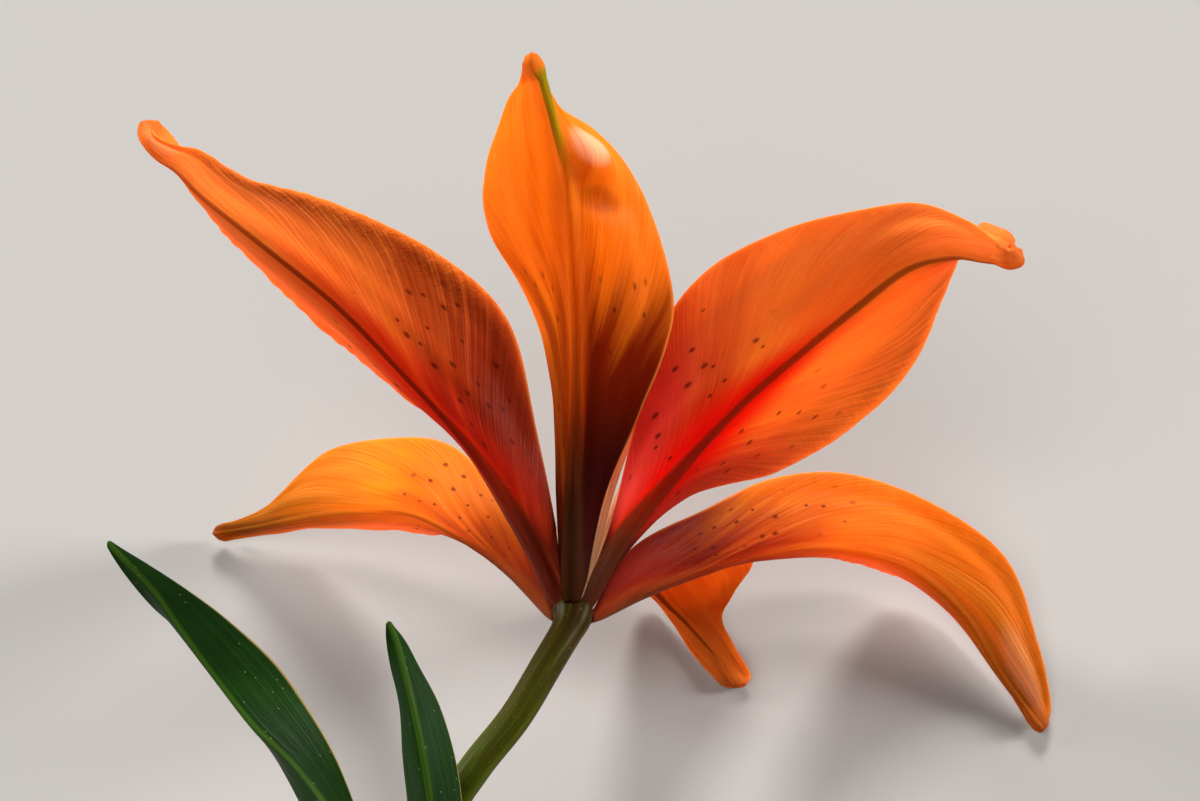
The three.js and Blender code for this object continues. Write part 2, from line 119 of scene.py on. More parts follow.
# Each tepal hangs between three rails: its left margin, its keel and its right margin, seen from outside
# with the tip ahead
TEPALS = {
    "sepal_front": dict(
        azimuth=-4, ring=OUTER_RING,
        left=[
            (-2.5, 14.5, 67), (-3, 27, 73.5), (-6, 38.5, 81.5), (-12.5, 45, 93.5), (-13, 51, 100),
            (-11, 55, 106.5), (-9.5, 56, 112), (-7.5, 55.5, 117.5), (-6.5, 55, 123.5),
        ],
        keel=[
            (0, 11.5, 72.5), (0.5, 21.5, 81), (0.5, 31.5, 90.5), (0, 40, 100), (-1, 46.5, 109),
            (-2.5, 49.5, 115.5), (-3.5, 51, 120), (-4.5, 52.5, 124), (-6, 54, 126),
        ],
        right=[
            (4.8, 14.5, 67.5), (10.3, 24, 77), (15, 35, 85.5), (13, 43.5, 93.5), (9, 50.5, 100.5),
            (3.5, 54, 106.5), (-1.5, 54.5, 111.5), (-4.5, 54.5, 117.5), (-5.5, 55, 123.5),
        ],
    ),
    "petal_left": dict(
        azimuth=-62, ring=INNER_RING,
        left=[
            (-9.5, 14, 59), (-18, 28.5, 60.5), (-27.5, 37.5, 59.5), (-38, 45, 64), (-49.5, 53, 72),
            (-57, 58.5, 80.5), (-59, 61.5, 83.5), (-59.5, 64.5, 85.5), (-61.5, 66, 88.5), (-63.5, 66, 92),
        ],
        keel=[
            (-7.5, 11, 63.5), (-15.5, 23, 67), (-25.5, 33, 71.5), (-35.5, 41.5, 77.5), (-46.5, 48.5, 83.5),
            (-55.5, 54.5, 87.5), (-59.5, 57.5, 90.5), (-62.5, 59, 92), (-64.5, 61, 93.5), (-64.5, 64.5, 93),
        ],
        right=[
            (-2.5, 12.5, 60), (-5.5, 27, 64.5), (-10, 41.5, 74), (-21.5, 50.5, 79.5), (-36.5, 57, 82.5),
            (-49.5, 60, 85), (-56, 62, 89), (-59.5, 61.5, 91.5), (-62.5, 61.5, 94), (-64, 64.5, 93.5),
        ],
    ),
    "petal_right": dict(
        azimuth=58, ring=INNER_RING,
        left=[
            (5.4, 12.4, 60.7), (8.7, 25.5, 65), (12.5, 38, 73.5), (20, 46, 80.5), (32.5, 51.5, 84),
            (45, 54.5, 85), (52.5, 55, 85.5), (59, 51.5, 86.5), (63, 47.5, 88), (65.5, 45.5, 87.5),
        ],
        keel=[
            (7.5, 10, 62), (16, 20.5, 64.5), (25.5, 30, 68), (34.5, 37, 71.5), (43, 43, 75),
            (50.5, 47, 79.5), (57, 47, 83), (61.5, 45.5, 84.5), (64.5, 44.5, 85.5), (67, 45, 85.5),
        ],
        right=[
            (9.5, 12, 57.5), (18, 20.5, 56.5), (30.5, 25.5, 54.5), (42.5, 32, 56.5), (51.5, 39.5, 61.5),
            (56.5, 47.5, 68.5), (59, 52.5, 74.5), (62, 55.5, 79), (65, 53, 81), (67, 48, 84),
        ],
    ),
    "sepal_left": dict(
        azimuth=-118, ring=OUTER_RING,
        left=[
            (-9.5, 15.5, 43), (-16.5, 26.5, 33.5), (-23.5, 33.5, 20), (-31, 39.5, 10.5),
            (-41.5, 43, 4.5), (-51, 43, 2.5), (-59, 42.5, 1),
        ],
        keel=[
            (-9.5, 11, 49.5), (-16.5, 21, 40.5), (-25.5, 31, 31), (-34.5, 36.5, 22),
            (-43, 40, 14), (-52, 42, 7), (-60, 43.5, 2),
        ],
        right=[
            (-5, 11.5, 52.5), (-10.5, 26.5, 44.5), (-19.5, 39.5, 38.5), (-29.5, 46.5, 28.5),
            (-40.5, 49, 19.5), (-50.5, 45, 9), (-59, 44, 3),
        ],
    ),
    "sepal_right": dict(
        azimuth=122, ring=OUTER_RING,
        left=[
            (9, 13.6, 52.6), (20.5, 24.5, 45), (31, 34, 37.5), (43.5, 40, 28.5), (57.5, 40, 19),
            (70, 33.5, 12), (75, 21.5, 6), (77, 12.5, 2.5), (76.5, 8.5, 1.5),
        ],
        keel=[
            (11, 7.5, 50), (21, 16, 41), (31, 23.5, 32.5), (42, 29, 23.5), (53.5, 30, 15.5),
            (63, 24.5, 9), (69, 16, 4.5), (73, 11, 2.5), (75.5, 7.5, 1.5),
        ],
        right=[
            (12.5, 13.5, 42), (23, 24, 30.5), (32, 29, 21), (41, 34, 11), (50, 35.5, 4),
            (59, 31, 2.5), (67, 21, 2), (71.5, 13, 1), (75, 8, 0.8),
        ],
    ),
    "petal_back": dict(
        azimuth=180, ring=INNER_RING,
        left=[
            (5, 15.5, 45.5), (12, 25, 30), (23.5, 34.5, 19.5), (29, 34.5, 10), (26, 30.5, 5.5),
            (24, 26.5, 4.5), (26, 22, 3), (28.5, 17.5, 2), (27.5, 15.5, 1.2),
        ],
        keel=[
            (3, 12.5, 46), (6.5, 20.5, 34.5), (9.5, 27, 21), (12, 29.5, 10.5), (15, 28.5, 5.5),
            (18, 26.5, 3), (22, 22, 1.5), (24, 18.5, 1.5), (26, 15.5, 1),
        ],
        right=[
            (1.5, 12.5, 43.5), (3.5, 20.5, 27.5), (7, 29.5, 13), (9.5, 33, 4.5), (12.5, 32, 1.5),
            (15.5, 28, 1), (18.5, 22.5, 1), (21.5, 18.5, 1), (24.5, 15.5, 1),
        ],
    ),
}

# Each leaf clasps the stem a share of the way along it, turned from its upper side
LEAVES = {
    "leaf_left": dict(
        along=0.685, turn=-114,
        left=[
            (-25.9, -108, 24.3), (-28, -75, 31.5), (-30.5, -43, 34), (-38, -26.5, 29.5), (-45, -12, 26),
            (-49, -3.5, 23), (-55, 5.5, 22.5), (-62.5, 13.5, 24.5), (-66.5, 16.5, 27.5),
            (-70.5, 20.5, 31), (-73.5, 24.2, 33.6),
        ],
        keel=[
            (-28.4, -108, 27), (-28.8, -75, 35), (-28.5, -42, 38.2), (-34.5, -26.5, 35),
            (-42, -14, 31.5), (-49.5, -5, 29), (-55, 2.5, 28.5), (-61, 10.5, 30), (-65.5, 16.5, 32),
            (-70, 21, 33.5), (-73.5, 24.5, 34),
        ],
        right=[
            (-27.8, -108, 31), (-27.5, -75, 38.5), (-25.5, -40.5, 38), (-32, -24, 34),
            (-36.5, -12, 31.5), (-41.5, -2, 29.5), (-47, 6, 29.5), (-54.5, 13, 30), (-61, 17.5, 31.5),
            (-67.5, 21.5, 33), (-73.3, 24.8, 34.2),
        ],
    ),
    "leaf_top": dict(
        along=0.71, turn=0,
        left=[
            (-26.5, -112, 30.5), (-25.5, -80, 40.5), (-23, -49, 51), (-23.5, -39.5, 55),
            (-24, -32.5, 59), (-25, -26.5, 63), (-25.5, -20.5, 67.5), (-26.5, -16, 71), (-27, -13, 74),
            (-27, -11.3, 75.6),
        ],
        keel=[
            (-22.8, -113, 33), (-21.2, -81, 43.5), (-19.5, -50, 53.5), (-20, -41.5, 59.5),
            (-20.5, -35.5, 64), (-21.5, -29.5, 67.5), (-23, -23, 70.5), (-24.5, -17.5, 73),
            (-25.5, -14, 74.5), (-26.8, -11.1, 76),
        ],
        right=[
            (-19.5, -112, 30.5), (-17.5, -80, 40.5), (-16.5, -49, 51), (-16, -39.5, 55),
            (-16, -32.5, 59), (-17, -27, 62.5), (-19.5, -20.5, 66.5), (-22.5, -16, 70.5),
            (-24.5, -13, 73.5), (-26.5, -11.2, 75.6),
        ],
    ),
    "leaf_low": dict(
        along=0.775, turn=-100,
        left=[
            (-37, -141.5, 22), (-43, -126, 31), (-52.5, -112, 35.5), (-64, -97.5, 36),
            (-74, -81.5, 32), (-81, -66, 24), (-83.2, -50.4, 16),
        ],
        keel=[
            (-33.5, -139.5, 20.5), (-38.5, -123.5, 29), (-46, -107.5, 33.5), (-57, -92.5, 34),
            (-68, -77.5, 30), (-77, -63.5, 23), (-83, -50, 16),
        ],
        right=[
            (-30, -137.5, 21.5), (-33, -121, 31), (-39.5, -103, 35.5), (-50, -87.5, 36),
            (-62, -73.5, 32), (-73, -61, 24), (-82.7, -49.7, 16),
        ],
    ),
}

# Where each stamen points, how far along the flower's axis its anther hangs and how far out from it
STAMENS = {
    "front": (-4, 46, 13),
    "upper_right": (62, 48, 16),
    "lower_right": (108, 50, 17.5),
    "back": (180, 44, 12.5),
    "lower_left": (-118, 44, 12.5),
    "upper_left": (-70, 43, 12),
}


def linear(colour):
    """A colour written as #rrggbb, in the linear values that shaders take."""
    shares = [int(colour[i:i + 2], 16) / 255 for i in (1, 3, 5)]
    return (*(s / 12.92 if s <= 0.04045 else ((s + 0.055) / 1.055) ** 2.4 for s in shares), 1)


# Shapes


def smoothstep(value, start, end):
    """0 at start and 1 at end with a soft rise between them, whichever of the two is the larger."""
    share = np.clip((value - start) / (end - start), 0, 1)
    return share * share * (3 - 2 * share)


def catmull_rom(points, shares):
    """Places on a smooth curve through given points, with the same share of it between each two."""
    points = np.asarray(points, float)
    padded = np.vstack([2 * points[0] - points[1], points, 2 * points[-1] - points[-2]])
    spans = len(points) - 1
    place = np.clip(np.asarray(shares) * spans, 0, spans - 1e-9)
    index = place.astype(int)
    f = (place - index)[:, None]
    p0, p1, p2, p3 = (padded[index + k] for k in range(4))
    return 0.5 * (
        2 * p1 + (p2 - p0) * f + (2 * p0 - 5 * p1 + 4 * p2 - p3) * f**2 + (3 * p1 - p0 - 3 * p2 + p3) * f**3
    )


def resample(points, count, fineness=2000):
    """Evenly spaced places on a smooth curve through unevenly spaced points."""
    dense = catmull_rom(points, np.linspace(0, 1, fineness))
    length = np.concatenate([[0], np.cumsum(np.linalg.norm(np.diff(dense, axis=0), axis=1))])
    at = np.linspace(0, length[-1], count)
    return np.stack([np.interp(at, length, dense[:, k]) for k in range(3)], axis=1)


def unit(vectors):
    return vectors / np.maximum(np.linalg.norm(vectors, axis=-1, keepdims=True), 1e-12)


UPPER = np.array([0, math.sin(NOD), math.cos(NOD)])
AXIS = np.array([0, math.cos(NOD), -math.sin(NOD)])
FOOT = np.array([0, 0, FOOT_HEIGHT])
RIGHT = np.array([1.0, 0, 0])


def in_flower(azimuth, height, out):
    """A place by its turn from the flower's upper side, its height along the axis and its distance out."""
    turn = math.radians(azimuth)
    return FOOT + height * AXIS + out * (math.cos(turn) * UPPER + math.sin(turn) * RIGHT)


# The route's points are unevenly spaced, so the stem is stepped by length
stem_places = resample(STEM_ROUTE, STEM_ROWS)


def beside_stem(along, turn_degrees, out):
    """A place beside the stem, turned about it from its upper side."""
    i = int(along * (len(stem_places) - 1))
    forward = unit(stem_places[i - 1] - stem_places[i + 1])
    right = unit(RIGHT - RIGHT.dot(forward) * forward)
    up = np.cross(right, forward)
    turn = math.radians(turn_degrees)
    return stem_places[i] + out * (math.cos(turn) * up + math.sin(turn) * right)


def row_places(steps, round_end, round_start, end_steps=12):
    """Shares along a blade and how much of its width each keeps, with a round tip and a narrowed foot."""
    turn = np.linspace(0, math.radians(88), end_steps + 1)[1:]
    body = np.linspace(0, 1 - round_end, steps - end_steps + 1)
    t = np.r_[body, 1 - round_end * (1 - np.sin(turn))]
    foot = np.sqrt(1 - FOOT_NARROWING * (1 - body / round_start).clip(0, 1) ** 2)
    return t[:, None], np.r_[foot, np.cos(turn)][:, None]


def blade_middle(left, keel, right, t, v, roundness):
    """The middle surface of a blade, row by row from base to tip. roundness is its keel's, row by row."""
    left, keel, right = (catmull_rom(rail, t[:, 0])[:, None, :] for rail in (left, keel, right))
    s = np.abs(v)[..., None]
    side = np.where(v > 0, 1, -1)[..., None]
    margin = np.where(side > 0, right, left)
    level = side * (right - left) / 2 * roundness[..., None]
    end = 3 * s**2 - 2 * s**3
    leave = s**3 - 2 * s**2 + s
    arrive = s**3 - s**2
    return keel * (1 - end) + margin * end + level * leave + (margin - keel) * arrive


def outward(rows):
    """The outward direction at every point of a middle surface."""
    along = np.gradient(rows, axis=0)
    across = np.gradient(rows, axis=1)
    return unit(np.cross(across, along))


def distances(rows):
    """How far each row is from the base along the keel, and each point from the keel across its row."""
    along = np.linalg.norm(np.diff(rows, axis=0, prepend=rows[:1]), axis=2).cumsum(axis=0)
    across = np.linalg.norm(np.diff(rows, axis=1, prepend=rows[:, :1]), axis=2).cumsum(axis=1)
    keel = rows.shape[1] // 2
    return along[:, keel:keel + 1] + 0 * across, across - across[:, keel:keel + 1]


def add_mesh(name, vertices, faces, materials, slots=None):
    """An object from places in millimetres. slots gives each face's number in the materials."""
    mesh = bpy.data.meshes.new(name)
    mesh.from_pydata((np.asarray(vertices) * MM).tolist(), [], faces)
    for material in materials:
        mesh.materials.append(material)
    if slots is not None:
        mesh.polygons.foreach_set("material_index", np.asarray(slots, dtype=np.int32))
    mesh.shade_smooth()
    piece = bpy.data.objects.new(name, mesh)
    bpy.context.scene.collection.objects.link(piece)
    return piece


def add_map(piece, name, values):
    """A UV map from one pair of values for each corner of the mesh."""
    layer = piece.data.uv_layers.new(name=name, do_init=False)
    layer.uv.foreach_set("vector", np.asarray(values, dtype=np.float32).ravel())


def sleeve_quads(rows, around):
    """The quads of a closed sleeve, and the row and the column of each of their corners."""
    i, j = (grid.ravel() for grid in np.meshgrid(np.arange(rows), np.arange(around), indexing="ij"))
    corner_rows = np.stack([i, i, i + 1, i + 1], 1)
    corner_columns = np.stack([j, j + 1, j + 1, j], 1)
    return corner_rows * around + corner_columns % around, corner_rows, corner_columns


def end_strips(row, across, turned):
    """Faces that close one end of a blade's sleeve, as strips between its outer and its inner skin."""
    around = 2 * across
    for k in range(across):
        corners = [k, k + 1, (-k - 1) % around, (-k) % around]
        corners = list(dict.fromkeys(row * around + index for index in corners))
        yield corners[::-1] if turned else corners


def blade_sleeve(rails, shape, v, steps):
    """The points of a blade's outer and inner skin, row by row, and its middle's shares and distances."""
    t, width = row_places(steps, shape["round_end"], shape["round_start"])
    rows = blade_middle(*rails, t, v, shape["roundness"](t))
    along, aside = distances(rows)
    share = along / along[-1:]
    rows = rows + outward(rows) * shape["relief"](share, v, along, aside)[..., None]
    middle = rows.mean(axis=1, keepdims=True)
    rows = middle + (rows - middle) * width[..., None]
    normal = outward(rows)
    outer_half, inner_half = shape["thickness"](share, v, along, aside)
    rim = np.sqrt(np.clip(1 - np.abs(v) ** RIM_BLUNTNESS, 0, 1)) * width
    outer = rows + normal * (outer_half * rim)[..., None]
    inner = rows - normal * (inner_half * rim)[..., None]
    return np.concatenate([outer, inner[:, -2:0:-1]], axis=1), share, along, aside


def blade(name, rails, shape, materials, steps=240, across=64):
    """A thin closed blade round its middle surface, as one sleeve of outer and inner skin.

    shape gives the keel's roundness, the relief and the half thicknesses, and the shares of the length that
    its round end and its narrowed foot take. The maps are "share" (along from 0 to 1, across from 0 to 1),
    "place" (along and across in units of 100 mm) and the one that bakes go through, with the outer skin
    below the inner skin.
    """
    v = np.sin(np.linspace(-1, 1, across + 1) * math.pi / 2)[None, :]
    sleeve, share, along, aside = blade_sleeve(rails, shape, v, steps)
    around = 2 * across
    quads, quad_rows, quad_columns = sleeve_quads(steps, around)
    is_inner = quad_columns[:, 0] >= across
    caps = [*end_strips(0, across, True), *end_strips(steps, across, False)]
    slots = [*is_inner.astype(int).tolist(), *[0] * len(caps)]
    piece = add_mesh(name, sleeve.reshape(-1, 3), [*quads.tolist(), *caps], materials, slots)

    # Each column of the sleeve lies over a column of the middle surface
    over = np.r_[0:across + 1, across - 1:0:-1, 0]
    cap_corners = np.array([corner for face in caps for corner in face])
    rows_of = np.r_[quad_rows.ravel(), cap_corners // around]
    columns_of = np.r_[over[quad_columns.ravel()], over[cap_corners % around]]
    keel = across // 2
    share_along = share[rows_of, keel]
    add_map(piece, "share", np.stack([share_along, (v[0, columns_of] + 1) / 2], 1))
    add_map(piece, "place", np.stack([along[rows_of, keel], aside[rows_of, columns_of]], 1) / MAP_UNIT)
    upper_half = 0.5 * np.r_[np.repeat(is_inner, 4), np.zeros(len(cap_corners), bool)]
    lane = BAKE_MARGIN + (0.5 - 2 * BAKE_MARGIN) * columns_of / across
    baked_along = BAKE_MARGIN + (1 - 2 * BAKE_MARGIN) * share_along
    add_map(piece, "OFBake", np.stack([baked_along, lane + upper_half], 1))
    return piece


def bar_points(places, radius, sides, first_side):
    """The points of a bar ring by ring. Its side is carried along it, so that it doesn't twist."""
    tangent = unit(np.gradient(places, axis=0))
    side = np.zeros_like(places)
    side[0] = unit(first_side - np.dot(first_side, tangent[0]) * tangent[0])
    for k in range(1, len(places)):
        side[k] = unit(side[k - 1] - side[k - 1].dot(tangent[k]) * tangent[k])
    other = np.cross(tangent, side)
    share = np.linspace(0, 1, len(places))[:, None]
    turn = np.linspace(0, 2 * math.pi, sides, endpoint=False)[None, :]
    ring = np.cos(turn)[..., None] * side[:, None] + np.sin(turn)[..., None] * other[:, None]
    return places[:, None] + ring * radius(share, turn)[..., None]


def bar(name, places, radius, sides, material, first_side=(0.3, 0.2, 1)):
    """A closed bar through a row of places. radius(share, turn) gives its outline all round."""
    points = bar_points(places, radius, sides, first_side)
    last = len(places) - 1
    quads, quad_rows, quad_columns = sleeve_quads(last, sides)
    ends = [list(range(sides))[::-1], [last * sides + k for k in range(sides)]]
    piece = add_mesh(name, points.reshape(-1, 3), [*quads.tolist(), *ends], [material])
    along = np.r_[quad_rows.ravel(), [0] * sides, [last] * sides] / last
    turned = np.r_[quad_columns.ravel(), range(sides), range(sides)] / sides
    length = np.linalg.norm(np.diff(places, axis=0), axis=1).sum()
    add_map(piece, "share", np.stack([along, turned], 1))
    add_map(piece, "place", np.stack([along * length, turned * BAR_GIRTH], 1) / MAP_UNIT)
    return piece


# Materials


class Shader:
    """One material's nodes, with a short call for each kind used here."""

    def __init__(self, name):
        self.material = bpy.data.materials.new(name)
        self.material.use_nodes = True
        self.tree = self.material.node_tree
        self.tree.nodes.clear()

    def node(self, kind, inputs=None, **settings):
        made = self.tree.nodes.new(kind)
        for key, value in settings.items():
            setattr(made, key, value)
        for key, value in (inputs or {}).items():
            if isinstance(value, bpy.types.NodeSocket):
                self.tree.links.new(value, made.inputs[key])
            else:
                made.inputs[key].default_value = value
        return made

    def math(self, operation, a, b=0.0, c=0.0):
        return self.node("ShaderNodeMath", {0: a, 1: b, 2: c}, operation=operation).outputs[0]

    def product(self, *values):
        result = values[0]
        for value in values[1:]:
            result = self.math("MULTIPLY", result, value)
        return result

    def fade(self, value, start, end, low=0.0, high=1.0):
        """low at start and high at end, with a soft change between them."""
        inputs = {"Value": value, "From Min": start, "From Max": end, "To Min": low, "To Max": high}
        return self.node("ShaderNodeMapRange", inputs, interpolation_type="SMOOTHSTEP").outputs["Result"]

    def window(self, value, start, full, fading, end):
        """0 up to start, 1 from full to fading and 0 again from end."""
        return self.product(self.fade(value, start, full), self.fade(value, end, fading))

    def mix(self, share, a, b):
        return self.node("ShaderNodeMix", {0: share, 6: a, 7: b}, data_type="RGBA").outputs[2]

    def tint(self, colour, over, *shares):
        """The colour with another over it, as thick as the product of the shares."""
        return self.mix(self.product(*shares), colour, linear(over))

    def ramp(self, value, stops):
        made = self.node("ShaderNodeValToRGB", {"Fac": value})
        elements = made.color_ramp.elements
        while len(elements) < len(stops):
            elements.new(1)
        for element, (place, colour) in zip(elements, stops):
            element.position = place
            element.color = linear(colour)
        return made.outputs["Color"]

    def map(self, name):
        return self.node("ShaderNodeUVMap", uv_map=name).outputs["UV"]

    def split(self, vector):
        made = self.node("ShaderNodeSeparateXYZ", {"Vector": vector})
        return made.outputs["X"], made.outputs["Y"]

    def join(self, x, y, z=0.0):
        return self.node("ShaderNodeCombineXYZ", {"X": x, "Y": y, "Z": z}).outputs["Vector"]

    def vector_math(self, operation, vector, other):
        made = self.node("ShaderNodeVectorMath", {0: vector, 1: other}, operation=operation)
        return made.outputs["Vector"]

    def stretch(self, vector, x, y):
        return self.vector_math("MULTIPLY", vector, (x, y, 1))

    def shift(self, vector, x, y):
        return self.vector_math("ADD", vector, (x, y, 0))

    def noise(self, vector, scale, detail=2.0, roughness=0.5, distortion=0.0):
        inputs = {"Vector": vector, "Scale": scale, "Detail": detail, "Roughness": roughness}
        inputs["Distortion"] = distortion
        return self.node("ShaderNodeTexNoise", inputs).outputs["Fac"]

    def voronoi(self, vector, scale, randomness=1.0):
        inputs = {"Vector": vector, "Scale": scale, "Randomness": randomness}
        return self.node("ShaderNodeTexVoronoi", inputs, voronoi_dimensions="2D")

    def specks(self, place, scale, size, amount):
        """Dots of one size with soft edges, in a share amount of the cells of a pattern."""
        cells = self.voronoi(place, scale)
        chosen, _ = self.split(cells.outputs["Color"])
        dot = self.fade(cells.outputs["Distance"], size, size - 0.05)
        return self.product(dot, self.fade(chosen, 1 - amount, 1.02 - amount))

    def bump(self, height, distance, strength, under=None):
        inputs = {"Height": height, "Distance": distance, "Strength": strength}
        if under is not None:
            inputs["Normal"] = under
        return self.node("ShaderNodeBump", inputs).outputs["Normal"]

    def finish(self, shader):
        self.node("ShaderNodeOutputMaterial", {"Surface": shader})
        return self.material

    def surface(self, colour, roughness, specular, normal=None, glow=None, through=0.0):
        """Ends the material. The share through of its light comes from behind, in the colour glow."""
        inputs = {"Base Color": colour, "Roughness": roughness, "Specular IOR Level": specular}
        if normal is not None:
            inputs["Normal"] = normal
        shader = self.node("ShaderNodeBsdfPrincipled", inputs).outputs["BSDF"]
        if glow is not None:
            lit = self.node("ShaderNodeBsdfTranslucent", {"Color": glow, "Normal": normal}).outputs["BSDF"]
            shader = self.node("ShaderNodeMixShader", {0: through, 1: shader, 2: lit}).outputs["Shader"]
        return self.finish(shader)


TONE_PLACES = (0.02, 0.15, 0.36, 0.62, 0.95)
SKIN_SPECULAR = 0.045

# How each tepal looks, where it differs from the usual look. Shares and places run from 0 to 1, pairs are
# for the left and the right side, and sizes are in mm.
# tones: the body's colours from base to tip, at the places above; the darkest low ones are partly painted
# shade.
# margin: the colour of its sides.
# reach: how far towards the tip a vein goes while it crosses from the keel to the margin.
# seed: shifts the patterns and waves.
# dark_base_and_shade: a dark flush low down, partly the claw's own colour and partly painted shade, as its
# left and right share, where it ends and its colour at the base.
# pink: a pink flush low down, as its left and right share. red: the share of a red one beside the keel.
# shade_band: the share of a streaky brown band of painted shade inside the right margin.
# stripe: the keel's colour low down, where it ends and its share.
# ridge: the keel's colour ahead, where it starts and its share, with painted shade on its left side.
# spots: the share of the spots' places that hold one. wrinkles: the share of their full depth.
# keel: half its width in its middle. waves: the height of the waves along the margins.
# channels: how deep the two channels inside the margins are.
# pleats: the height of the lengthwise pleats right of the keel, near the tip.
# callus: half the thickness of the tip. fold: how much sharper the keel gets ahead.
# swellings: place along and across, two widths and a height, which is below zero for a hollow. A swelling
# gets a painted highlight ahead of its middle, and a hollow gets painted shade.
USUAL_LOOK = dict(pink=(0.0, 0.0), shade_band=0.0, pleats=0.0, fold=0.0, swellings=[])
TEPAL_LOOKS = {
    "sepal_front": dict(
        # The near-black tones low down are partly painted shade.
        tones=["#180600", "#300a00", "#e05804", "#f88008", "#ff9814"],
        margin="#ff9c2c", reach=0.85, seed=1.7,
        dark_base_and_shade=(0.7, 1.0, 0.62, "#2c0200"), red=0.15,
        stripe=("#341602", 0.66, 0.8), ridge=("#acb018", 0.74, 1.0), spots=0.5, wrinkles=0.1,
        keel=0.65, waves=0.1, channels=(0.1, 0.3), pleats=0.14, callus=0.8, fold=0.75,
        swellings=[(0.8, 0.42, 0.045, 0.3, 2.6), (0.715, 0.42, 0.035, 0.35, -1.3)],
    ),
    "petal_left": dict(
        tones=["#1c0600", "#2e0400", "#cc400e", "#ff8830", "#ff9440"],
        margin="#ff9430", reach=0.5, seed=3.1,
        dark_base_and_shade=(0.0, 0.5, 0.5, "#480600"), pink=(0.0, 0.3), red=0.7, shade_band=0.75,
        stripe=("#5c1402", 1.1, 0.75), ridge=("#d86c14", 0.8, 0.0), spots=0.75, wrinkles=1.0,
        keel=0.4, waves=0.12, channels=(0.1, 0.65), callus=0.75,
        swellings=[(0.93, 0.6, 0.04, 0.3, 0.6)],
    ),
    "petal_right": dict(
        tones=["#1a0400", "#320400", "#d03408", "#ff8830", "#f48434"],
        margin="#ff9440", reach=0.5, seed=5.9,
        dark_base_and_shade=(0.0, 0.3, 0.46, "#480600"), pink=(1.0, 0.6), red=1.0, shade_band=0.5,
        stripe=("#4c1c04", 1.1, 0.75), ridge=("#8c6414", 0.6, 0.35), spots=0.75, wrinkles=0.3,
        keel=0.6, waves=0.12, channels=(0.3, 0.5), callus=1.1,
    ),
    "sepal_left": dict(
        tones=["#541c00", "#701a00", "#dc5804", "#ff960e", "#643a04"],
        margin="#ffa424", reach=0.75, seed=7.3,
        dark_base_and_shade=(0.6, 0.6, 0.48, "#641200"), red=0.1,
        stripe=("#7c3004", 0.75, 0.7), ridge=("#a88c18", 0.8, 0.2), spots=0.7, wrinkles=0.15,
        keel=0.35, waves=0.12, channels=(0.1, 0.2), callus=0.75,
    ),
    "sepal_right": dict(
        tones=["#4a1800", "#4c0c00", "#ac3404", "#fa8612", "#a04c0c"],
        margin="#fc9420", reach=0.75, seed=9.4,
        dark_base_and_shade=(0.85, 0.5, 0.46, "#700c00"), red=0.2,
        stripe=("#8c3806", 0.5, 0.35), ridge=("#e88c20", 0.7, 0.2), spots=0.7, wrinkles=0.7,
        keel=0.5, waves=0.1, channels=(0.4, 0.15), callus=0.8,
        swellings=[(0.88, -0.5, 0.08, 0.3, 0.5)],
    ),
    "petal_back": dict(
        tones=["#4c1000", "#8c1400", "#bc3c08", "#d05a12", "#e87a24"],
        margin="#ff9430", reach=0.5, seed=11.2,
        dark_base_and_shade=(0.1, 0.4, 0.54, "#480600"), pink=(0.3, 0.3), red=0.5, shade_band=0.4,
        stripe=("#481002", 1.15, 0.85), ridge=("#d86c14", 0.8, 0.0), spots=0.5, wrinkles=0.3,
        keel=0.5, waves=0.1, channels=(0.3, 0.2), callus=0.65,
    ),
}


def tepal_places(sh, look):
    """What a tepal's colours and bumps are worked out from: places on its skin and streaks on its veins."""
    seed = look["seed"]
    along, across = sh.split(sh.map("share"))
    place = sh.map("place")
    _, aside = sh.split(place)
    signed = sh.math("MULTIPLY_ADD", across, 2.0, -1.0)
    from_keel = sh.math("ABSOLUTE", signed)
    beside = sh.math("ABSOLUTE", aside)
    seeded = sh.shift(place, seed, seed)

    # Veins leave the keel along it and curve out to the margins, so one number tells them apart
    vein = sh.math("SUBTRACT", sh.math("POWER", from_keel, 0.55), sh.math("DIVIDE", along, look["reach"]))
    flow = sh.join(vein, sh.math("MULTIPLY", along, 0.5), sh.math("ADD", sh.math("SIGN", signed), seed))

    # The keel narrows towards the tip, and ratio counts the distance from it in halves of its width
    narrowing = sh.fade(along, 0.7, 0.98, 1.0, 0.45)
    half_width = sh.product(sh.fade(along, 0.03, 0.42, 0.018, look["keel"] / MAP_UNIT), narrowing)
    return SimpleNamespace(
        along=along, aside=aside, signed=signed,
        from_keel=from_keel, beside=beside, seeded=seeded,
        upper=sh.fade(along, 0.08, 0.42),
        ratio=sh.math("DIVIDE", beside, half_width),
        wide_streaks=sh.noise(sh.stretch(flow, 5.5, 2.4), 1.0, 3.0, 0.55),
        fine_streaks=sh.noise(sh.stretch(flow, 46, 6.0), 1.0, 3.0, 0.6),
        hair_streaks=sh.noise(sh.stretch(flow, 110, 16.0), 1.0, 2.0, 0.6),
        cloud=sh.noise(seeded, 4.5, 2.0),
        grain=sh.noise(sh.stretch(seeded, 0.5, 1.0), 420.0, 2.0, 0.6),
    )


